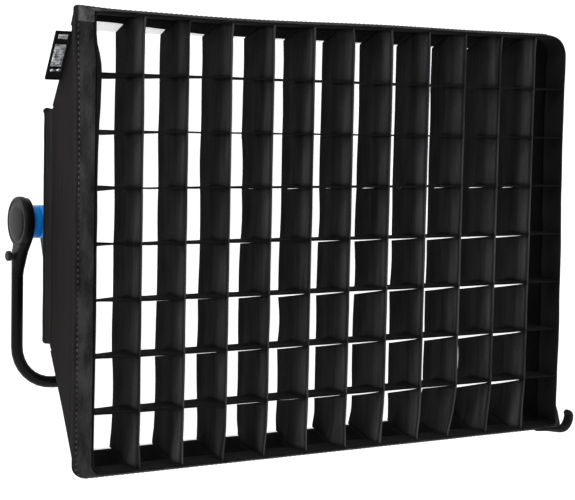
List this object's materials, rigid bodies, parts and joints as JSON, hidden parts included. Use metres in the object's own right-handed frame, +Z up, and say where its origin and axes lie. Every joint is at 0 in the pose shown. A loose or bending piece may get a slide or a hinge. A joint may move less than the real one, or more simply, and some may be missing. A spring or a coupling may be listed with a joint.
{
  "type": "strip softbox",
  "caption": "Rectangular fabric softbox with an egg-crate grid, worn on a panel lamp head that tilts in a U-yoke with a spigot.",
  "frame": {"origin": "centre of the flat lower end face of the yoke's spigot", "axes": "+Z up along the spigot; the grid faces -Y; +X to the right seen from behind the lamp, along the tilt axis"},
  "size_m": [0.9121, 0.5621, 0.719],
  "materials": {
    "black_fabric": "woven, matt",
    "grid_fabric": "woven, matt",
    "binding_tape": "ribbed webbing",
    "silver_liner": "metallised",
    "white_diffusion": "translucent cloth",
    "fibreglass_rod": "satin",
    "yoke_paint": "satin powder coat",
    "bright_steel": "satin",
    "knob_rubber": "matt",
    "head_paint": "fine texture paint",
    "black_aluminium": "black anodised",
    "blue_plastic": "satin",
    "teal_black_plastic": "matt",
    "black_plastic": "matt",
    "lens_opal": "opal",
    "clear_vinyl": "clear film"
  },
  "bodies": {
    "yoke": {"yoke_tube": "yoke_paint", "yoke_end_left": "yoke_paint", "yoke_end_right": "yoke_paint", "yoke_base": "yoke_paint", "spigot": "bright_steel"},
    "head": {"lamp_housing": "head_paint", "heat_sink": "black_aluminium", "accessory_bezel": "black_aluminium", "lamp_lens": "lens_opal", "tilt_bracket_left": "teal_black_plastic", "tilt_bracket_right": "teal_black_plastic", "pivot_boss_left": "blue_plastic", "pivot_boss_right": "blue_plastic", "control_panel": "black_plastic", "power_inlet": "black_plastic"},
    "softbox": {"skin_left": "black_fabric", "skin_right": "black_fabric", "skin_top": "black_fabric", "skin_bottom": "black_fabric", "rim_left": "binding_tape", "rim_right": "binding_tape", "rim_top": "binding_tape", "rim_bottom": "binding_tape", "strut_top_left": "fibreglass_rod", "strut_top_right": "fibreglass_rod", "strut_bottom_left": "fibreglass_rod", "strut_bottom_right": "fibreglass_rod", "collar": "binding_tape", "reflective_liner": "silver_liner", "front_diffuser": "white_diffusion", "inner_baffle": "white_diffusion", "card_pocket_back": "binding_tape", "card_pocket_window": "clear_vinyl", "corner_pull_tab": "binding_tape"},
    "grid": {"slat_vertical_01": "grid_fabric", "slat_vertical_02": "grid_fabric", "slat_vertical_03": "grid_fabric", "slat_vertical_04": "grid_fabric", "slat_vertical_05": "grid_fabric", "slat_vertical_06": "grid_fabric", "slat_vertical_07": "grid_fabric", "slat_vertical_08": "grid_fabric", "slat_vertical_09": "grid_fabric", "slat_vertical_10": "grid_fabric", "slat_vertical_11": "grid_fabric", "slat_level_01": "grid_fabric", "slat_level_02": "grid_fabric", "slat_level_03": "grid_fabric", "slat_level_04": "grid_fabric", "slat_level_05": "grid_fabric", "slat_level_06": "grid_fabric", "slat_level_07": "grid_fabric", "grid_border_left": "binding_tape", "grid_border_right": "binding_tape", "grid_border_top": "binding_tape", "grid_border_bottom": "binding_tape"},
    "arm_knob_left": {"arm_knob_left": "knob_rubber"},
    "arm_knob_right": {"arm_knob_right": "knob_rubber"},
    "dial_upper": {"dial_upper": "knob_rubber"},
    "dial_lower": {"dial_lower": "knob_rubber"}
  },
  "joints": [
    {"name": "head_tilt", "type": "hinge", "parent": "yoke", "child": "head", "pos_m": [0, 0, 0.386], "axis": [1, 0, 0], "range_deg": [-90, 25]},
    {"name": "softbox_pull", "type": "slide", "parent": "head", "child": "softbox", "axis": [0, -1, 0], "range_m": [0, 0.06]},
    {"name": "grid_pull", "type": "slide", "parent": "softbox", "child": "grid", "axis": [0, -1, 0], "range_m": [0, 0.11]},
    {"name": "arm_knob_left_turn", "type": "hinge", "parent": "yoke", "child": "arm_knob_left", "pos_m": [-0.366, 0, 0.329], "axis": [-1, 0, 0], "continuous": true},
    {"name": "arm_knob_right_turn", "type": "hinge", "parent": "yoke", "child": "arm_knob_right", "pos_m": [0.366, 0, 0.329], "axis": [1, 0, 0], "continuous": true},
    {"name": "dial_upper_turn", "type": "hinge", "parent": "head", "child": "dial_upper", "pos_m": [-0.035, 0.0663, 0.405], "axis": [0, 1, 0], "continuous": true},
    {"name": "dial_lower_turn", "type": "hinge", "parent": "head", "child": "dial_lower", "pos_m": [-0.035, 0.0663, 0.355], "axis": [0, 1, 0], "continuous": true}
  ]
}
